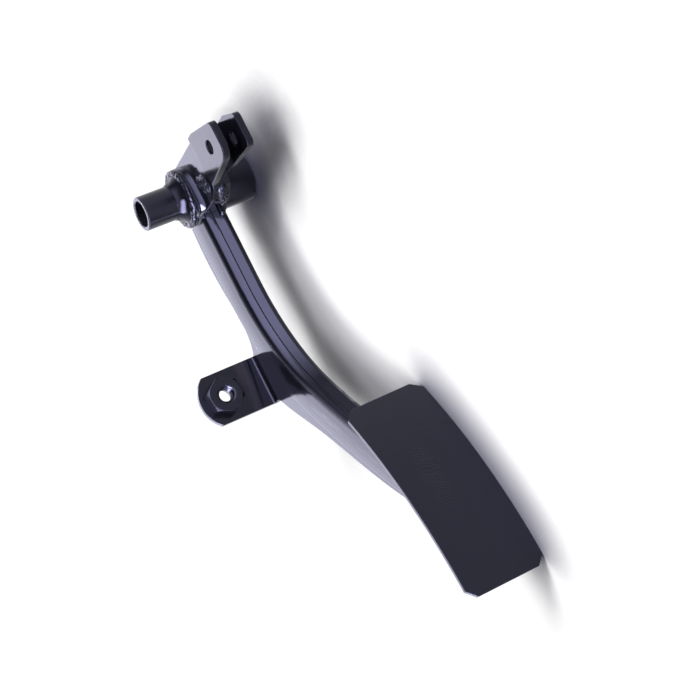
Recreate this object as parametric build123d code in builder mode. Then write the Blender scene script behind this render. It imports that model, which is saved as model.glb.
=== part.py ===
from build123d import *
import os
from math import cos, degrees, radians, sin, sqrt

# Welded steel accelerator pedal, lying on its right side. Millimetres.
# The pivot bore runs along Z and the origin is on its axis, at the arm's mid plane.
# In the side plane the first coordinate runs along the arm, from the pivot towards
# the pad, and the second runs up from the arm's back to the driver's foot.
SIDE = Plane(origin=(0, 0, 0), x_dir=(-1, 0, 0), z_dir=(0, 0, 1))

# Pressed shells of the arm
sheet = 3.0  # sheet thickness
arm_half_width = 8.3  # mid plane to a shell's outer face
arm_depth = 15.5  # front face to back face
arm_offset = 1.2  # how far the centre line lies behind the pivot
arm_straight = 61.1  # straight run from the pivot to the knee
knee_radius = 120.3
knee_angle = 41.3
calf_radius = 738.0  # the lower arm bends on, very gently
corner_radius = 2.9  # outer bends of the pressing
crown_width = 9.0  # front part of the left side wall, which slopes to the corner
crown_drop = 1.7
crown_radius = 30.0  # eases the slope into the flat part
seam_break = 0.4  # bevel of the left shell's edge at the seam
seam_lean = 1.2  # how far the right shell's front face stands out
seam_band = 4.7  # height of its leaning band, from the seam

# Back flange of the left shell: distance along the arm, width beyond its back face
flange_drop = 0.5  # step down from the side wall
flange_start_width = 3.8
flange_upper = [(28, 5.0), (54.6, 3.7), (74.5, 0.9), (85.6, 3.6)]
flange_lower = [(118, 16.4), (123, 14.2), (128, 12.5), (157, 5.8), (197, 3.8), (240, 2.2)]

# Stop tab, bent up from the flange, and its weld nut
tab_start = 96.6  # along the arm, to the tab's near edge
tab_width = 29.5
tab_face = -15.6  # front face, measured from the pivot
tab_top = 49.0
tab_shoulder = 42.0  # where the rounded end begins
tab_bend = 2.0  # inner bend radius
tab_hole_radius = 5.0
nut_flats = 19.2
nut_height = 8.0
nut_thread_radius = 4.25
nut_turn = 17.0  # how the hexagon is turned, degrees
nut_from_edge = 15.1  # nut centre, from the tab's near edge
nut_level = 35.4  # nut centre, above the mid plane

# Pivot
head_rise = 2.0  # left shell's head stands above its side wall
head_radius = 17.4
head_break = 0.8  # bevel round the head's top
head_corner = 6.0
tube_radius = 10.0
tube_bore_radius = 7.6
tube_left_end = 36.0
rest_level = 31.0  # right end of the tube, the sleeve and the pad, below the mid plane
sleeve_radius = 14.2
boss_rim_radius = 14.2
boss_rim = 1.6  # height of the boss's rim, which the bead fills in
boss_neck_radius = 10.3
boss_height = 7.2
boss_flare = 14.0  # radius of the boss's hollow flank

# Bell-crank core, and the clevis ears welded to it
core_back = 18.0  # pivot to the straight edge beyond it
core_front = 15.4  # pivot to the edge on the pad's side
core_shoulder = 30.0  # where that edge starts to slope in
core_top_front = (11.6, 38.0)
core_top_back = 54.0  # the top slopes up to here, under the left ear
core_corner = 8.0  # where the straight edge ends, behind the pivot
ear_thickness = 4.0
ear_foot = 46.0  # foot of the left ear
ear_front = 12.2  # front corner of the left ear's foot
ear_foot_lean = 2.0  # how much higher that corner is
ear_waist = 52.0  # where the back edge starts to slope in
ear_top = 83.2
ear_top_back = -11.2
ear_top_front = 9.4
ear_back_round = 4.0
ear_front_round = 8.0
leg_foot = 24.0  # foot of the right ear's longer leg
leg_front = 4.9  # front corner of that foot
leg_back = -16.2
leg_shoulder = 69.0  # where the right ear's back edge starts to slope in
leg_top_front = 8.7
leg_front_round = 3.5
pin_along = -2.2  # clevis pin centre
pin_up = 68.6
pin_radius = 4.0

# Pad: its front face is an arc through the top and lower edges
pad_thickness = 2.2
pad_radius = 245.0
pad_width = 47.0
pad_top_edge = (159.5, 82.0)
pad_lower_edge = (273.8, 119.3)
pad_top_cut = 5.5
pad_lower_cut = 5.0

# Weld beads and sheared edges
bead = 3.2  # leg of a large bead
small_bead = 2.2
left_bead_end = 2.9  # how far along the bead at the left ear's foot runs
edge_break = 0.4

# Levels and places that several pieces share
half = arm_depth / 2
core_half = arm_half_width - sheet  # the core plate fills the space between the shells
flange_top = arm_half_width - flange_drop
flange_under = flange_top - sheet
tab_end = tab_start + tab_width
tab_back = tab_face - sheet
nut_along = tab_start + nut_from_edge
head_top = arm_half_width + head_rise
boss_top = head_top + boss_height
knee_turn = radians(knee_angle)
outer_front = half + seam_lean


# Centre of the pad's curve, behind the middle of its chord
chord_along = pad_lower_edge[0] - pad_top_edge[0]
chord_up = pad_lower_edge[1] - pad_top_edge[1]
chord = sqrt(chord_along**2 + chord_up**2)
chord_depth = sqrt(pad_radius**2 - chord**2 / 4)
pad_middle = (pad_top_edge[0] + chord_along / 2, pad_top_edge[1] + chord_up / 2)
pad_centre = (
    pad_middle[0] + chord_depth * chord_up / chord,
    pad_middle[1] - chord_depth * chord_along / chord,
)

# The arm is drawn long enough to pass through the pad's middle, then trimmed there
knee_end_along = arm_straight + knee_radius * sin(knee_turn)
knee_end_up = knee_radius * (1 - cos(knee_turn)) - arm_offset
calf_along = pad_middle[0] - knee_end_along
calf_up = pad_middle[1] - knee_end_up
calf_length = sqrt(calf_along**2 + calf_up**2) + 2 * arm_depth
arm_length = arm_straight + knee_radius * knee_turn + calf_length


def arm_point(distance, offset):
    """Point beside the arm's centre line, moved towards the foot by the offset."""
    if distance <= arm_straight:
        return (distance, offset - arm_offset)
    turn = min((distance - arm_straight) / knee_radius, knee_turn)
    beyond = distance - arm_straight - knee_radius * turn
    end = turn + beyond / calf_radius
    along = arm_straight + knee_radius * sin(turn) + calf_radius * (sin(end) - sin(turn))
    up = knee_radius * (1 - cos(turn)) + calf_radius * (cos(turn) - cos(end))
    return (along - offset * sin(end), up - arm_offset + offset * cos(end))


def arm_face(offset, start, stop):
    """Draw a face of the arm, straight run, knee and calf, and return its two ends."""
    upper = Line(arm_point(start, offset), arm_point(arm_straight, offset))
    knee = JernArc(upper @ 1, upper % 1, knee_radius - offset, knee_angle)
    calf_angle = degrees((stop - arm_straight - knee_radius * knee_turn) / calf_radius)
    calf = JernArc(knee @ 1, knee % 1, calf_radius - offset, calf_angle)
    return upper @ 0, calf @ 1


def arm_strip(near, far, start=0.0):
    """Draw the closed outline between two offsets from the centre line."""
    near_start, near_end = arm_face(near, start, arm_length)
    far_start, far_end = arm_face(far, start, arm_length)
    Line(near_start, far_start)
    Line(near_end, far_end)


def pad_point(aim, radius):
    """Point at the given radius of the pad's curve, on the ray through aim."""
    along = aim[0] - pad_centre[0]
    up = aim[1] - pad_centre[1]
    share = radius / sqrt(along**2 + up**2)
    return (pad_centre[0] + along * share, pad_centre[1] + up * share)


def pad_arc(radius):
    """Draw the pad's curve at the given radius, from its top to its lower edge."""
    stops = [pad_point(aim, radius) for aim in (pad_top_edge, pad_middle, pad_lower_edge)]
    return ThreePointArc(*stops)


# Everything on the foot's side of the pad's back face, to trim what reaches the pad
with BuildPart() as beyond_pad:
    with BuildSketch(SIDE.offset(-rest_level)):
        with BuildLine():
            back_face = pad_arc(pad_radius - pad_thickness)
            reach = chord_up + pad_lower_edge[1]
            corners = [(pad_lower_edge[0], reach), (pad_top_edge[0], reach)]
            Polyline(back_face @ 1, *corners, back_face @ 0)
        make_face()
    extrude(amount=pad_width)

# Left shell: side wall, front wall down to the seam, head, back flange and stop tab
with BuildPart() as arm_left_shell:
    with BuildSketch(SIDE):
        with BuildLine():
            arm_strip(half - sheet, half, core_front)
        make_face()
    extrude(amount=arm_half_width)
    with BuildSketch(SIDE.offset(core_half)):
        with BuildLine():
            arm_strip(-half, half, core_front)
        make_face()
    extrude(amount=sheet)
    seam_face = arm_left_shell.faces().sort_by(Axis.Z)[0]
    chamfer(seam_face.edges().filter_by(Axis.X).sort_by(Axis.Y)[0], seam_break)
    # the side wall slopes to the front, and the front corner is bent round
    side_wall = arm_left_shell.faces().sort_by(Axis.Z)[-1]
    front_edge = side_wall.edges().filter_by(Axis.X).sort_by(Axis.Y)[0]
    chamfer(front_edge, crown_width, crown_drop, reference=side_wall)
    front_edges = arm_left_shell.edges().filter_by(Axis.X).sort_by(Axis.Y)[:3]
    corner_edge = front_edges.sort_by(Axis.Z)[-1]
    fillet(corner_edge, corner_radius)
    side_wall = arm_left_shell.faces().sort_by(Axis.Z)[-1]
    fillet(side_wall.edges().filter_by(Axis.X).sort_by(Axis.Y)[0], crown_radius)
    # raised head round the pivot, squarer where it caps the core
    with BuildSketch(SIDE.offset(core_half)) as head:
        with Locations((core_front / 2, head_radius / 2)):
            Rectangle(core_front, head_radius)
        fillet(head.vertices().sort_by_distance((core_front, head_radius))[0], head_corner)
        Circle(head_radius)
    extrude(amount=sheet + head_rise)
    head_face = arm_left_shell.faces().sort_by(Axis.Z)[-1]
    chamfer(head_face.edges(), head_break)
    # flange, spreading into the stop tab's root
    flange_end = flange_lower[-1][0]
    flange_places = [(core_front, flange_start_width), *flange_upper]
    upper_edge = [arm_point(place, -half - width) for place, width in flange_places]
    lower_edge = [arm_point(place, -half - width) for place, width in flange_lower]
    with BuildSketch(SIDE.offset(flange_under)):
        with BuildLine():
            first, last = arm_face(sheet - half, core_front, flange_end)
            Line(first, upper_edge[0])
            Spline(*upper_edge, (tab_start, tab_face))
            Line((tab_start, tab_face), (tab_start, tab_back))
            Line((tab_start, tab_back), (tab_end, tab_back))
            Line((tab_end, tab_back), (tab_end, tab_face))
            Spline((tab_end, tab_face), *lower_edge)
            Line(lower_edge[-1], last)
        make_face()
    extrude(amount=sheet)
    tab_plane = Plane(origin=(0, -tab_face, 0), x_dir=(-1, 0, 0), z_dir=(0, 1, 0))
    with BuildSketch(tab_plane):
        with BuildLine():
            side = Line((tab_start, flange_under), (tab_start, tab_shoulder))
            crown = (tab_start + tab_width / 2, tab_top)
            cap = ThreePointArc(side @ 1, crown, (tab_end, tab_shoulder))
            other_side = Line(cap @ 1, (tab_end, flange_under))
            Line(other_side @ 1, side @ 0)
        make_face()
        with Locations((nut_along, nut_level)):
            Circle(tab_hole_radius, mode=Mode.SUBTRACT)
    extrude(amount=sheet)
    along_tab = arm_left_shell.edges().filter_by(Axis.X)
    fillet(along_tab.sort_by_distance((-nut_along, -tab_back, flange_under))[0], sheet)
    across_tab = Plane(origin=(-tab_start, 0, 0), x_dir=(0, -1, 0), z_dir=(-1, 0, 0))
    with BuildSketch(across_tab):
        with Locations((tab_face, flange_top)):
            Rectangle(tab_bend, tab_bend, align=(Align.MIN, Align.MIN))
        with Locations((tab_face + tab_bend, flange_top + tab_bend)):
            Circle(tab_bend, mode=Mode.SUBTRACT)
    extrude(amount=tab_width)
    # hole for the tube, and the arm's end trimmed to the pad's back face
    with BuildSketch(SIDE):
        Circle(tube_radius)
    extrude(amount=head_top, mode=Mode.SUBTRACT)
    add(beyond_pad.part, mode=Mode.SUBTRACT)

# Right shell: side wall, leaning front wall up to the seam, back wall up to the flange
with BuildPart() as arm_right_shell:
    with BuildSketch(SIDE.offset(-arm_half_width)):
        with BuildLine():
            arm_strip(-half, outer_front)
        make_face()
        Circle(head_radius)
    extrude(amount=sheet)
    with BuildSketch(SIDE.offset(-arm_half_width)):
        with BuildLine():
            arm_strip(half - sheet, outer_front, core_front)
        make_face()
    extrude(amount=arm_half_width)
    with BuildSketch(SIDE.offset(-arm_half_width)):
        with BuildLine():
            arm_strip(-half, sheet - half, core_front)
        make_face()
    extrude(amount=arm_half_width + flange_under)
    side_wall = arm_right_shell.faces().sort_by(Axis.Z)[0]
    straight_edges = side_wall.edges().filter_by(Axis.X).sort_by(Axis.Y)
    fillet([straight_edges[0], straight_edges[-1]], corner_radius)
    level_faces = arm_right_shell.faces().filter_by(Plane.XY)
    seam_face = level_faces.sort_by_distance((-arm_straight, -half, 0))[0]
    seam_edge = seam_face.edges().filter_by(Axis.X).sort_by(Axis.Y)[0]
    chamfer(seam_edge, seam_lean, seam_band, reference=seam_face)
    with BuildSketch(SIDE):
        Circle(tube_radius)
    extrude(amount=-arm_half_width, mode=Mode.SUBTRACT)
    add(beyond_pad.part, mode=Mode.SUBTRACT)

# Bell-crank core plate, between the shells and out to the clevis
with BuildPart() as lever_core:
    with BuildSketch(SIDE.offset(-core_half)):
        Circle(core_back)
        with Locations((core_front, 0)):
            size = 2 * core_back
            Rectangle(size, size, align=(Align.MIN, Align.CENTER), mode=Mode.SUBTRACT)
        with BuildLine():
            Polyline(
                (-core_back, core_top_back),
                (-core_back, -core_corner),
                (core_front, -core_corner),
                (core_front, core_shoulder),
                core_top_front,
                (-core_back, core_top_back),
            )
        make_face()
        Circle(tube_radius, mode=Mode.SUBTRACT)
    extrude(amount=2 * core_half)


# Clevis ears, on the two faces of the core
with BuildPart() as left_clevis_ear:
    with BuildSketch(SIDE.offset(core_half)) as ear:
        back_top = (ear_top_back, ear_top)
        front_top = (ear_top_front, ear_top)
        with BuildLine():
            waist = (-core_back, ear_waist)
            foot = [(ear_front, ear_foot + ear_foot_lean), (-core_back, ear_foot)]
            Polyline(waist, back_top, front_top, *foot, close=True)
        make_face()
        fillet(ear.vertices().sort_by_distance(back_top)[0], ear_back_round)
        fillet(ear.vertices().sort_by_distance(front_top)[0], ear_front_round)
        with Locations((pin_along, pin_up)):
            Circle(pin_radius, mode=Mode.SUBTRACT)
    extrude(amount=ear_thickness)
    chamfer(left_clevis_ear.faces().sort_by(Axis.Z)[-1].edges(), edge_break)

with BuildPart() as right_clevis_ear:
    with BuildSketch(SIDE.offset(-core_half)) as ear:
        back_top = (ear_top_back, ear_top)
        front_top = (leg_top_front, ear_top)
        with BuildLine():
            waist = (leg_back, leg_shoulder)
            foot = [(leg_front, leg_foot), (leg_back, leg_foot)]
            Polyline(waist, back_top, front_top, *foot, close=True)
        make_face()
        fillet(ear.vertices().sort_by_distance(back_top)[0], ear_back_round)
        fillet(ear.vertices().sort_by_distance(front_top)[0], leg_front_round)
        with Locations((pin_along, pin_up)):
            Circle(pin_radius, mode=Mode.SUBTRACT)
    extrude(amount=-ear_thickness)
    chamfer(right_clevis_ear.faces().sort_by(Axis.Z)[0].edges(), edge_break)

# Pivot tube, right through the arm, with the boss and the sleeve round it
with BuildPart() as pivot_tube:
    with BuildSketch(SIDE.offset(-rest_level)):
        Circle(tube_radius)
        Circle(tube_bore_radius, mode=Mode.SUBTRACT)
    extrude(amount=rest_level + tube_left_end)
    chamfer(pivot_tube.faces().sort_by(Axis.Z)[-1].edges(), edge_break)

with BuildPart() as left_boss:
    with BuildSketch(Plane.XZ):
        with BuildLine():
            foot = Line((tube_radius, head_top), (boss_rim_radius, head_top))
            rim = Line(foot @ 1, (boss_rim_radius, head_top + boss_rim))
            flank = RadiusArc(rim @ 1, (boss_neck_radius, boss_top), boss_flare)
            Polyline(flank @ 1, (tube_radius, boss_top), foot @ 0)
        make_face()
    revolve(axis=Axis.Z)

with BuildPart() as right_sleeve:
    with BuildSketch(SIDE.offset(-rest_level)):
        Circle(sleeve_radius)
        Circle(tube_radius, mode=Mode.SUBTRACT)
    extrude(amount=rest_level - arm_half_width)
    rim = right_sleeve.faces().sort_by(Axis.Z)[0].edges().sort_by(SortBy.LENGTH)[-1]
    chamfer(rim, edge_break)

# Weld nut on the stop tab's front face
with BuildPart() as stop_nut:
    with BuildSketch(tab_plane):
        with Locations((nut_along, nut_level)):
            RegularPolygon(nut_flats / 2, 6, major_radius=False, rotation=nut_turn)
            Circle(nut_thread_radius, mode=Mode.SUBTRACT)
    extrude(amount=-nut_height)

# Pad plate, curved along its length
with BuildPart() as pad_plate:
    with BuildSketch(SIDE.offset(-rest_level)):
        with BuildLine():
            face = pad_arc(pad_radius)
            back = pad_arc(pad_radius - pad_thickness)
            Line(face @ 0, back @ 0)
            Line(face @ 1, back @ 1)
        make_face()
    extrude(amount=pad_width)
    across_sheet = pad_plate.edges().filter_by(
        lambda edge: abs(edge.length - pad_thickness) < 0.01
    ).sort_by(Axis.X)
    chamfer(across_sheet[:2], pad_lower_cut)
    chamfer(across_sheet[2:], pad_top_cut)

# Beads round the boss and the sleeve, where they meet the shells
with BuildPart() as boss_weld:
    with BuildSketch(Plane.XZ):
        with BuildLine():
            Polyline(
                (boss_rim_radius, head_top),
                (head_radius - head_break, head_top),
                (boss_rim_radius, head_top + boss_rim),
                (boss_rim_radius, head_top),
            )
        make_face()
    revolve(axis=Axis.Z)

with BuildPart() as sleeve_weld:
    with BuildSketch(Plane.XZ):
        with BuildLine():
            Polyline(
                (sleeve_radius, -arm_half_width),
                (sleeve_radius + small_bead, -arm_half_width),
                (sleeve_radius, -arm_half_width - bead),
                (sleeve_radius, -arm_half_width),
            )
        make_face()
    revolve(axis=Axis.Z)
    add(arm_right_shell.part, mode=Mode.SUBTRACT)

# Beads across the core at the ears' feet
with BuildPart() as left_ear_weld:
    with BuildSketch(Plane.YZ.offset(core_back - bead)):
        with BuildLine():
            Polyline(
                (-ear_foot, core_half),
                (bead - ear_foot, core_half),
                (-ear_foot, core_half + bead),
                (-ear_foot, core_half),
            )
        make_face()
    extrude(amount=bead - core_back - left_bead_end)

with BuildPart() as right_ear_weld:
    with BuildSketch(Plane.YZ.offset(-leg_back)):
        with BuildLine():
            Polyline(
                (-leg_foot, -core_half),
                (bead - leg_foot, -core_half),
                (-leg_foot, -core_half - bead),
                (-leg_foot, -core_half),
            )
        make_face()
    extrude(amount=leg_back - leg_front)

# Bead round the arm's end, on the pad's back
with BuildPart() as pad_weld:
    with BuildSketch(SIDE.offset(-arm_half_width - small_bead)):
        with BuildLine():
            arm_strip(-half - small_bead, outer_front + small_bead)
        make_face()
    extrude(amount=2 * (arm_half_width + small_bead))
    with BuildSketch(SIDE.offset(-rest_level)):
        with BuildLine():
            on_pad = pad_arc(pad_radius - pad_thickness)
            off_pad = pad_arc(pad_radius - pad_thickness - small_bead)
            Line(on_pad @ 0, off_pad @ 0)
            Line(on_pad @ 1, off_pad @ 1)
        make_face()
    extrude(amount=pad_width, mode=Mode.INTERSECT)
    with BuildSketch(SIDE.offset(-arm_half_width)):
        with BuildLine():
            arm_strip(-half, outer_front)
        make_face()
    extrude(amount=2 * arm_half_width, mode=Mode.SUBTRACT)

pieces = {
    "arm_left_shell": arm_left_shell,
    "arm_right_shell": arm_right_shell,
    "lever_core": lever_core,
    "left_clevis_ear": left_clevis_ear,
    "right_clevis_ear": right_clevis_ear,
    "pivot_tube": pivot_tube,
    "left_boss": left_boss,
    "right_sleeve": right_sleeve,
    "stop_nut": stop_nut,
    "pad_plate": pad_plate,
    "boss_weld": boss_weld,
    "sleeve_weld": sleeve_weld,
    "left_ear_weld": left_ear_weld,
    "right_ear_weld": right_ear_weld,
    "pad_weld": pad_weld,
}

os.makedirs("parts", exist_ok=True)
for name, piece in pieces.items():
    piece.part.label = name
    export_step(piece.part, f"parts/{name}.step")
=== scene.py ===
import math

import bmesh
import bpy
from mathutils import Matrix, Vector, noise


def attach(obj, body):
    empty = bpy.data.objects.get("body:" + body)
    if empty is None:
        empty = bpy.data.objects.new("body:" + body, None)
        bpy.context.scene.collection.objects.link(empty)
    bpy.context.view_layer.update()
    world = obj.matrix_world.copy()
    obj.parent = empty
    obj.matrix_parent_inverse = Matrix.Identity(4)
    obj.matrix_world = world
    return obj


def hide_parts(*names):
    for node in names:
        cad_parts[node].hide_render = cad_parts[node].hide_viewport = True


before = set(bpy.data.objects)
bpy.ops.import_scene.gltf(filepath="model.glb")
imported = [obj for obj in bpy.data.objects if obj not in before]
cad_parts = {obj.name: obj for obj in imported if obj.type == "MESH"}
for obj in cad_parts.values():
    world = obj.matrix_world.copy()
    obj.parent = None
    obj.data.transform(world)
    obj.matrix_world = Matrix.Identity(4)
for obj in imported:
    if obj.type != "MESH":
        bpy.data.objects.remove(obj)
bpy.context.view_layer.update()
scene = bpy.context.scene
scene.view_settings.view_transform = "Standard"

# Camera: the photograph's place and roll, worked out from the part's parallel edges
CAMERA_PLACE = (-0.27127, -0.97691, 0.39211)
CAMERA_RIGHT = (-0.44940, -0.30166, -0.84085)
CAMERA_UP = (0.88193, -0.29973, -0.36384)
CAMERA_BACK = (-0.14227, -0.90508, 0.40074)
CAMERA_LENS = 97.714

camera = bpy.data.objects.new("camera", bpy.data.cameras.new("camera"))
scene.collection.objects.link(camera)
camera.matrix_world = Matrix.Translation(CAMERA_PLACE) @ Matrix(
    (CAMERA_RIGHT, CAMERA_UP, CAMERA_BACK)).transposed().to_4x4()
camera.data.lens = CAMERA_LENS
camera.data.sensor_width = 36
camera.data.clip_start = 0.05
camera.data.clip_end = 50
scene.camera = camera


# Node helpers
def node(tree, kind, **values):
    made = tree.nodes.new(kind)
    for name, value in values.items():
        setattr(made, name, value)
    return made


def material(name):
    made = bpy.data.materials.new(name)
    made.use_nodes = True
    made.node_tree.nodes.clear()
    return made, made.node_tree


def math_node(tree, operation, a, b=None):
    made = node(tree, "ShaderNodeMath", operation=operation)
    for socket, value in zip(made.inputs, (a, b)):
        if isinstance(value, (int, float)):
            socket.default_value = value
        elif value is not None:
            tree.links.new(value, socket)
    return made.outputs[0]


def mix(tree, kind, factor, a, b):
    """Mix of two values or colours, each a number, a tuple or a socket."""
    made = node(tree, "ShaderNodeMix", data_type=kind)
    for name, value in (("A", a), ("B", b), ("Factor", factor)):
        socket = next(s for s in made.inputs if s.name == name and s.enabled)
        if isinstance(value, (int, float, tuple)):
            socket.default_value = value
        else:
            tree.links.new(value, socket)
    return next(s for s in made.outputs if s.enabled)


def smooth(tree, value, low, high):
    """Smooth step of a value, from 0 at low to 1 at high."""
    made = node(tree, "ShaderNodeMapRange", interpolation_type="SMOOTHSTEP")
    made.inputs["From Min"].default_value = low
    made.inputs["From Max"].default_value = high
    tree.links.new(value, made.inputs["Value"])
    return made.outputs["Result"]


def dot(tree, vector, direction):
    made = node(tree, "ShaderNodeVectorMath", operation="DOT_PRODUCT")
    made.inputs[1].default_value = direction
    tree.links.new(vector, made.inputs[0])
    return made.outputs["Value"]


def noise_texture(tree, place, scale, detail):
    made = node(tree, "ShaderNodeTexNoise")
    made.inputs["Scale"].default_value = scale
    made.inputs["Detail"].default_value = detail
    tree.links.new(place, made.inputs["Vector"])
    return made.outputs["Fac"]


def towards(azimuth, elevation):
    """Direction, from angles in degrees."""
    turn, rise = math.radians(azimuth), math.radians(elevation)
    return Vector((math.cos(rise) * math.cos(turn), math.cos(rise) * math.sin(turn),
                   math.sin(rise)))


def seen_directly(tree):
    """Factor that is 1 where the camera, gloss or glass looks."""
    path = node(tree, "ShaderNodeLightPath").outputs
    gloss = math_node(tree, "MAXIMUM", path["Is Camera Ray"], path["Is Glossy Ray"])
    return math_node(tree, "MAXIMUM", gloss, path["Is Transmission Ray"])


# Floor: white where the camera, gloss or glass sees it, pale elsewhere, with the part's shadow
# kept and, for the camera, deepened where the part is close
FLOOR_HEIGHT = -0.031
FLOOR_PALE = (0.8, 0.8, 0.81, 1)
FLOOR_WHITE = (1.1, 1.1, 1.1, 1)
CONTACT_SHADE = (0.05, 0.045, 0.10, 1)
CONTACT_REACH = 0.034
CONTACT_DEPTH = 3.0


def floor_material():
    made, tree = material("floor_white")
    out = node(tree, "ShaderNodeOutputMaterial")
    shade = node(tree, "ShaderNodeBsdfDiffuse")
    white = mix(tree, "RGBA", seen_directly(tree), FLOOR_PALE, FLOOR_WHITE)
    near = node(tree, "ShaderNodeAmbientOcclusion", samples=8)
    near.inputs["Distance"].default_value = CONTACT_REACH
    openness = math_node(tree, "POWER", near.outputs["AO"], CONTACT_DEPTH)
    camera_ray = node(tree, "ShaderNodeLightPath").outputs["Is Camera Ray"]
    openness = math_node(tree, "MAXIMUM", openness, math_node(tree, "SUBTRACT", 1, camera_ray))
    tree.links.new(mix(tree, "RGBA", openness, CONTACT_SHADE, white), shade.inputs["Color"])
    tree.links.new(shade.outputs[0], out.inputs[0])
    return made


bpy.ops.mesh.primitive_plane_add(size=12, location=(0, 0, FLOOR_HEIGHT))
floor = bpy.context.object
floor.name = "floor"
floor.data.materials.append(floor_material())

# World: a dim even light, and for gloss a studio with a bright sweep behind the part, a lower
# one in front and a narrow strip light. The camera sees plain white.
AMBIENT = 0.035
WORLD_WHITE = 1.1
WORLD_TINT = (0.97, 0.97, 1.13, 1)
# Brightness by the sine of the elevation
SWEEP_BEHIND = ((0, 2.2), (0.2, 3.1), (0.42, 3.3), (0.62, 2.6), (0.8, 0.9), (1, 0.2))
SWEEP_FRONT = ((0, 7.2), (0.2, 7.0), (0.45, 6.4), (0.66, 3.2), (0.8, 0.3), (1, 0.05))
ROUND_ABOUT = ((0, 1.0), (0.1, 0.7), (0.3, 0.22), (0.6, 0.1), (1, 0.08))
STRIP_BRIGHTNESS = 70
STRIP_EDGE, STRIP_CORE = 0.976, 0.995  # cosines of the angle from the strip's middle line
STRIP_PLACES = ((232, 49), (221, 46), (210, 42), (199, 38), (188, 34), (177, 30))


def profile(tree, value, stops):
    """Brightness curve through pairs of value and brightness."""
    curve = node(tree, "ShaderNodeFloatCurve")
    points = curve.mapping.curves[0].points
    top = max(level for _, level in stops)
    for place, (height, level) in enumerate(stops):
        where = (height, level / top)
        if place < 2:
            points[place].location = where
        else:
            points.new(*where)
    curve.mapping.update()
    tree.links.new(value, curve.inputs["Value"])
    return math_node(tree, "MULTIPLY", curve.outputs[0], top)


def make_world():
    world = bpy.data.worlds.new("world")
    scene.world = world
    world.use_nodes = True
    tree = world.node_tree
    tree.nodes.clear()
    direction = node(tree, "ShaderNodeTexCoord").outputs["Generated"]
    split = node(tree, "ShaderNodeSeparateXYZ")
    tree.links.new(direction, split.inputs[0])
    height, depth = split.outputs["Z"], split.outputs["Y"]
    behind = smooth(tree, depth, -0.1, 0.7)
    ahead = smooth(tree, math_node(tree, "MULTIPLY", depth, -1), 0.1, 0.8)
    level = profile(tree, height, ROUND_ABOUT)
    for side, stops in ((behind, SWEEP_BEHIND), (ahead, SWEEP_FRONT)):
        sweep = math_node(tree, "MULTIPLY", side, profile(tree, height, stops))
        level = math_node(tree, "ADD", sweep, level)
    strip = 0
    for azimuth, elevation in STRIP_PLACES:
        near = dot(tree, direction, towards(azimuth, elevation))
        strip = math_node(tree, "MAXIMUM", smooth(tree, near, STRIP_EDGE, STRIP_CORE), strip)
    level = math_node(tree, "ADD", level, math_node(tree, "MULTIPLY", strip, STRIP_BRIGHTNESS))
    level = mix(tree, "FLOAT", seen_directly(tree), AMBIENT, level)
    camera_ray = node(tree, "ShaderNodeLightPath").outputs["Is Camera Ray"]
    level = mix(tree, "FLOAT", camera_ray, level, WORLD_WHITE)
    light = node(tree, "ShaderNodeBackground")
    light.inputs["Color"].default_value = WORLD_TINT
    tree.links.new(level, light.inputs["Strength"])
    out = node(tree, "ShaderNodeOutputWorld")
    tree.links.new(light.outputs[0], out.inputs[0])


make_world()

# Lamps: name, azimuth and elevation in degrees, and the share of a white's light that each
# gives the floor
LAMP_SPREAD = 26
LAMPS = (
    ("pivot_side", 330, 45, 0.4),
    ("behind", 60, 60, 0.15),
    ("pad_side", 240, 45, 0.12),
    ("above_front", 315, 75, 0.09),
    ("above_head", 0, 60, 0.06),
    ("above_knee", 300, 60, 0.07),
    ("above_pad", 270, 75, 0.07),
)
for name, azimuth, elevation, share in LAMPS:
    data = bpy.data.lights.new(name, "SUN")
    data.energy = share * math.pi / math.sin(math.radians(elevation))
    data.angle = math.radians(LAMP_SPREAD)
    lamp = bpy.data.objects.new(name, data)
    scene.collection.objects.link(lamp)
    lamp.visible_glossy = False
    lamp.rotation_euler = (-towards(azimuth, elevation)).to_track_quat("-Z", "Y").to_euler()

# Paint: black enamel, in metres
ENAMEL = (0.0075, 0.0075, 0.0125)
ENAMEL_TINT = (0.68, 0.68, 1, 1)
EDGE_ROUND = 0.0006
# The arm's pressing is rounder towards its corners than its flat walls: it leans by its height
LEAN_REACH = 0.0083
LEAN_UP, LEAN_BEND, LEAN_DOWN = 0.21, 25, 0.14
# Lighter band on the stop tab beside its bend: a painted highlight of the bend
BEND_HIGHLIGHT_COLOUR = (0.032, 0.025, 0.029, 1)
BEND_HIGHLIGHT_RISE, BEND_HIGHLIGHT_FALL = (0.0142, 0.0172), (0.0192, 0.0232)
# Press ripples at the middle of the pad
RIPPLE_AT = (-0.2115, -0.1068, -0.0046)
RIPPLE_LONG, RIPPLE_LENGTH = (-0.936, -0.305, 0.173), 0.033
RIPPLE_SHORT, RIPPLE_WIDTH = (0.164, 0.054, 0.985), 0.010
RIPPLE_WAVES, RIPPLE_DRIFT, RIPPLE_HOLLOW, RIPPLE_DEPTH = 120, 26, -6, 0.00006
# Lumps of a weld: scale, detail and depth of the noise
WELD_LAYERS = ((650, 3, 0.00012), (260, 2, 0.0004))


def lean_height(tree, height):
    over = math_node(tree, "MAXIMUM", math_node(tree, "MINIMUM", height, LEAN_REACH), 0)
    under = math_node(tree, "MINIMUM", math_node(tree, "MAXIMUM", height, -LEAN_REACH), 0)
    bend = math_node(tree, "MULTIPLY", math_node(tree, "MULTIPLY", over, over), -LEAN_BEND)
    bend = math_node(tree, "SUBTRACT", bend, math_node(tree, "MULTIPLY", over, LEAN_UP))
    return math_node(tree, "SUBTRACT", bend, math_node(tree, "MULTIPLY", under, LEAN_DOWN))


# Painted highlight: the base colour is lightened in a band of heights on the stop tab, beside
# its bend
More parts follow.
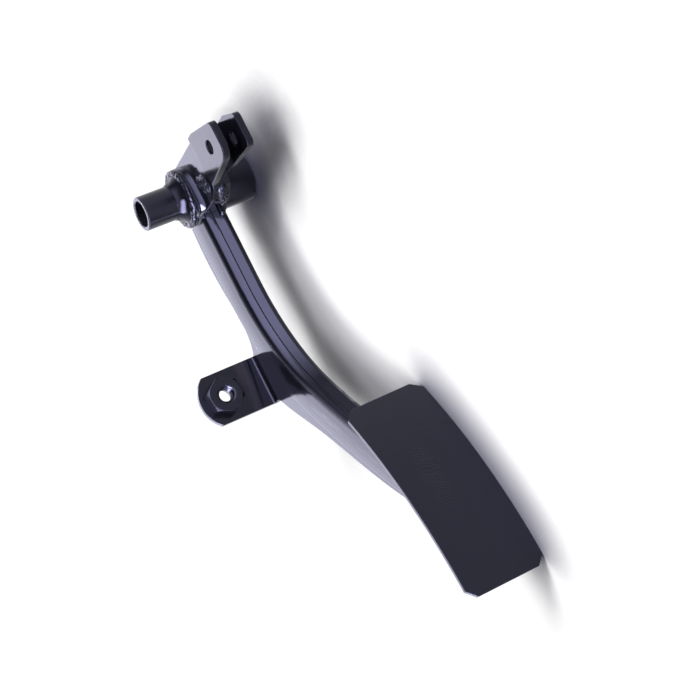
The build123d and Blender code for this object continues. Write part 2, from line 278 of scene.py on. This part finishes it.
def painted_bend_highlight(tree, height, body):
    fall = math_node(tree, "SUBTRACT", 1, smooth(tree, height, *BEND_HIGHLIGHT_FALL))
    highlight_mask = math_node(tree, "MULTIPLY", smooth(tree, height, *BEND_HIGHLIGHT_RISE), fall)
    return mix(tree, "RGBA", highlight_mask, (*body, 1), BEND_HIGHLIGHT_COLOUR)


def ripple_height(tree, place):
    from_middle = node(tree, "ShaderNodeVectorMath", operation="SUBTRACT")
    from_middle.inputs[1].default_value = RIPPLE_AT
    tree.links.new(place, from_middle.inputs[0])
    long_way, short_way = (
        dot(tree, from_middle.outputs["Vector"], [part / size for part in direction])
        for direction, size in ((RIPPLE_LONG, RIPPLE_LENGTH), (RIPPLE_SHORT, RIPPLE_WIDTH)))
    reach = math_node(tree, "SQRT", math_node(
        tree, "ADD", math_node(tree, "MULTIPLY", long_way, long_way),
        math_node(tree, "MULTIPLY", short_way, short_way)))
    inside = math_node(tree, "SUBTRACT", 1, smooth(tree, reach, 0.3, 1))
    drift = noise_texture(tree, place, 110, 2)
    phase = math_node(tree, "ADD", math_node(tree, "MULTIPLY", long_way, RIPPLE_WAVES),
                      math_node(tree, "MULTIPLY", drift, RIPPLE_DRIFT))
    wave = math_node(tree, "MULTIPLY", math_node(tree, "SINE", phase), inside)
    return math_node(tree, "ADD", wave, math_node(tree, "MULTIPLY", inside, RIPPLE_HOLLOW))


def paint(name, roughness=0.11, peel=0.0000045, lean_and_bend_highlight=False, weld=False, body=ENAMEL,
          gloss=0.5, ripple=False):
    """Black enamel over steel: fine peel, slow waves and rounded edges."""
    made, tree = material(name)
    out = node(tree, "ShaderNodeOutputMaterial")
    shader = node(tree, "ShaderNodeBsdfPrincipled")
    shader.inputs["Base Color"].default_value = (*body, 1)
    shader.inputs["Roughness"].default_value = roughness
    shader.inputs["IOR"].default_value = 1.40
    shader.inputs["Specular IOR Level"].default_value = gloss
    shader.inputs["Specular Tint"].default_value = ENAMEL_TINT
    place = node(tree, "ShaderNodeTexCoord").outputs["Object"]
    edge = node(tree, "ShaderNodeBevel", samples=4)
    edge.inputs["Radius"].default_value = EDGE_ROUND
    normal = edge.outputs["Normal"]

    def bump(height, distance):
        bumper = node(tree, "ShaderNodeBump")
        bumper.inputs["Strength"].default_value = 1
        bumper.inputs["Distance"].default_value = distance
        tree.links.new(height, bumper.inputs["Height"])
        tree.links.new(normal, bumper.inputs["Normal"])
        return bumper.outputs["Normal"]

    if lean_and_bend_highlight:
        split = node(tree, "ShaderNodeSeparateXYZ")
        tree.links.new(place, split.inputs[0])
        normal = bump(lean_height(tree, split.outputs["Z"]), 1)
        # Painted highlight of the tab's bend, as a lighter band in the base colour
        tree.links.new(painted_bend_highlight(tree, split.outputs["Z"], body), shader.inputs["Base Color"])
    if ripple:
        normal = bump(ripple_height(tree, place), RIPPLE_DEPTH)
    layers = ((1500, 2, peel), (130, 1, peel * 6)) + (WELD_LAYERS if weld else ())
    for scale, detail, depth in layers:
        normal = bump(noise_texture(tree, place, scale, detail), depth)
    tree.links.new(normal, shader.inputs["Normal"])
    tree.links.new(shader.outputs[0], out.inputs[0])
    return made


black = paint("black_paint")
arm_black = paint("arm_paint", lean_and_bend_highlight=True)
tube_black = paint("tube_paint", 0.2, body=(0.014, 0.014, 0.021))
weld_black = paint("weld_paint", 0.27, weld=True, gloss=0.32)
flare_black = paint("flare_paint", 0.14, peel=0.000006, gloss=0.16)
ear_black = paint("ear_paint", gloss=0.4)
pad_black = paint("pad_paint", 0.15, peel=0.000006, ripple=True)
nut_black = paint("nut_paint", 0.16)
COATS = {
    "arm_left_shell": arm_black,
    "arm_right_shell": arm_black,
    "pivot_tube": tube_black,
    "right_sleeve": tube_black,
    "left_boss": flare_black,
    "pad_plate": pad_black,
    "left_clevis_ear": ear_black,
    "right_clevis_ear": ear_black,
}
for name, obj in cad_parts.items():
    obj.data.materials.clear()
    obj.data.materials.append(
        weld_black if name.endswith("weld") else COATS.get(name, black))


# Added pieces, in millimetres
def from_grid(name, rows, coat, wrap_rows=False, replaces=None):
    """Mesh from rows of points, each row closed on itself."""
    across = len(rows[0])
    points = [(x / 1000, y / 1000, z / 1000) for row in rows for x, y, z in row]
    faces = []
    for i in range(len(rows) if wrap_rows else len(rows) - 1):
        here, there = i * across, (i + 1) % len(rows) * across
        for j in range(across):
            after = (j + 1) % across
            faces.append((here + j, here + after, there + after, there + j))
    data = bpy.data.meshes.new(name)
    data.from_pydata(points, [], faces)
    data.validate()
    repair = bmesh.new()
    repair.from_mesh(data)
    bmesh.ops.recalc_face_normals(repair, faces=repair.faces)
    repair.to_mesh(data)
    repair.free()
    data.polygons.foreach_set("use_smooth", [True] * len(data.polygons))
    data.materials.append(coat)
    made = bpy.data.objects.new(name, data)
    scene.collection.objects.link(made)
    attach(made, "root")
    if replaces:
        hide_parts(replaces)
    return made


# Nut: hexagon with turned corners and a grooved bore. Its place is along and up the part.
NUT_ALONG, NUT_UP, NUT_FACE, NUT_HEIGHT = 111.7, 35.4, 7.6, 8.0
NUT_FLAT, NUT_TURN = 9.6, -8
NUT_CORNER = NUT_FLAT + 0.25  # radius to which the corners are turned
NUT_BREAK = 0.12
NUT_BORE, NUT_PITCH, NUT_GROOVE = 4.25, 1.25, 0.55
NUT_STEPS = 120


def nut_rows():
    angles = [math.radians(NUT_TURN + 360 * i / NUT_STEPS) for i in range(NUT_STEPS)]

    def hexagon(angle):
        within = (math.degrees(angle) - NUT_TURN) % 60 - 30
        return NUT_FLAT / math.cos(math.radians(within))

    outline = [hexagon(angle) for angle in angles]
    turned = [min(radius, NUT_CORNER) for radius in outline]
    drops = [max(radius - NUT_CORNER, 0) * 0.6 + NUT_BREAK for radius in outline]

    def row(radii, depths):
        """Ring with a radius and a depth below the face, each one number or one a step."""
        radii = radii if isinstance(radii, list) else [radii] * NUT_STEPS
        depths = depths if isinstance(depths, list) else [depths] * NUT_STEPS
        return [(-NUT_ALONG + radius * math.cos(angle + math.pi), NUT_FACE + depth,
                 NUT_UP + radius * math.sin(angle))
                for angle, radius, depth in zip(angles, radii, depths)]

    rows = [
        row([radius - NUT_BREAK for radius in turned], NUT_HEIGHT),
        row(outline, [NUT_HEIGHT - drop for drop in drops]),
        row(outline, [drop + 0.1 for drop in drops]),
        row(outline, drops),
        row([radius - NUT_BREAK for radius in turned], 0.05),
        row([radius - 0.5 for radius in turned], 0),
        row(NUT_BORE + 1.0, 0),
        row(NUT_BORE + 0.8, 0.08),
        row(NUT_BORE + 0.1, 0.8),
    ]
    depth = 0.9
    while depth + NUT_PITCH * 2 < NUT_HEIGHT:
        for share, cut in ((0.0, 0.0), (0.15, 0.0), (0.5, NUT_GROOVE), (0.65, NUT_GROOVE)):
            rows.append(row(NUT_BORE + 0.05 - cut, depth + share * NUT_PITCH))
        depth += NUT_PITCH
    rows.append(row(NUT_BORE, NUT_HEIGHT - 0.6))
    rows.append(row(NUT_BORE + 0.8, NUT_HEIGHT))
    return rows


nut = from_grid("threaded_nut", nut_rows(), nut_black, wrap_rows=True,
                replaces="stop_nut")
nut.data.set_sharp_from_angle(angle=math.radians(25))

# Weld beads: ropes of overlapping puddles, with lumps
BEAD_STEP = 0.3
BEAD_AROUND = 20
PUDDLE_PITCH, PUDDLE_SWELL = 2.6, 0.06


def lumps(point, scale, seed):
    return noise.noise(Vector(point) * scale + Vector((seed, seed * 1.7, -seed)))


def smooth_path(places, closed):
    """Points along a curve through the places."""
    rope = [Vector(place) for place in places]
    count = len(rope)
    fine = []
    for i in range(count if closed else count - 1):
        before, start = rope[(i - 1) % count if closed else max(i - 1, 0)], rope[i]
        end = rope[(i + 1) % count]
        after = rope[(i + 2) % count if closed else min(i + 2, count - 1)]
        pieces = max(int((end - start).length / BEAD_STEP), 1)
        for k in range(pieces):
            u = k / pieces
            fine.append(0.5 * (
                2 * start + (end - before) * u
                + (2 * before - 5 * start + 4 * end - after) * u * u
                + (3 * start - before - 3 * end + after) * u ** 3))
    if not closed:
        fine.append(rope[-1])
    return fine


def bead(name, places, radius, seed, closed=False, replaces=None, swell=0.22, flat=0.75):
    """Lumpy rope along a curve through the places."""
    fine = smooth_path(places, closed)
    rows, run = [], 0.0
    total = sum((b - a).length for a, b in zip(fine, fine[1:]))
    for i, point in enumerate(fine):
        ahead = fine[(i + 1) % len(fine)] if closed else fine[min(i + 1, len(fine) - 1)]
        behind = fine[i - 1] if closed or i else fine[0]
        along = (ahead - behind).normalized()
        if i:
            run += (point - fine[i - 1]).length
        side = along.cross(Vector((0, 0, 1)))
        side = side.normalized() if side.length > 0.01 else Vector((1, 0, 0))
        top = side.cross(along).normalized()
        end_gap = 1 - min(run, total - run) / radius
        taper = 1.0 if closed else math.sqrt(max(0.0025, 1 - max(0.0, end_gap) ** 2))
        puddle = 1 + PUDDLE_SWELL * abs(math.sin(math.pi * run / PUDDLE_PITCH))
        row = []
        for j in range(BEAD_AROUND):
            turn = 2 * math.pi * j / BEAD_AROUND
            out = side * math.cos(turn) + top * math.sin(turn) * flat
            where = point + out * radius
            size = radius * taper * (puddle + swell * lumps(where, 0.4, seed)
                                     + 0.3 * swell * lumps(where, 1.2, seed))
            row.append(point + out * size)
        rows.append(row)
    return from_grid(name, rows, weld_black, wrap_rows=closed, replaces=replaces)


def ring(radius, height):
    return [(radius * math.cos(math.radians(a)), radius * math.sin(math.radians(a)), height)
            for a in range(0, 360, 15)]


def on_side(height, places):
    """Places on a side face, from pairs along and across the part."""
    return [(-along, -across, height) for along, across in places]


bead("boss_bead", ring(15.2, 10.4), 2.0, 3.1, closed=True, replaces="boss_weld",
     swell=0.3, flat=0.9)
bead("sleeve_bead", ring(15.4, -8.9), 1.7, 7.3, closed=True, replaces="sleeve_weld", swell=0.35)
bead("ear_foot_blob", on_side(4.8, [(0, 19), (2, 26), (4, 33)]), 3.6, 1.3, swell=0.3, flat=0.45)
bead("ear_foot_blob_low", on_side(4.8, [(5, 22), (6.5, 28), (9, 34)]), 3.0, 4.9,
     swell=0.3, flat=0.45)
bead("saddle", on_side(-4.6, [(20, 9.4), (15, 8.6), (11.6, 9.6), (10.6, 14), (11, 20)]),
     1.9, 2.2, swell=0.2)
CORE_EDGE = [(-14.2, -20.5, -1.5), (-14.4, -26, -2.6), (-14, -30.5, -1.6), (-12.4, -34.5, -0.4),
             (-10.8, -38.5, 1)]
bead("core_edge", CORE_EDGE, 2.9, 5.2, swell=0.3, flat=1.1)
bead("ear_foot_rope", on_side(5.8, [(-14, 43.4), (-8, 43.7), (0, 44.3), (8, 44.8), (12, 45)]),
     1.6, 9.1, swell=0.35)
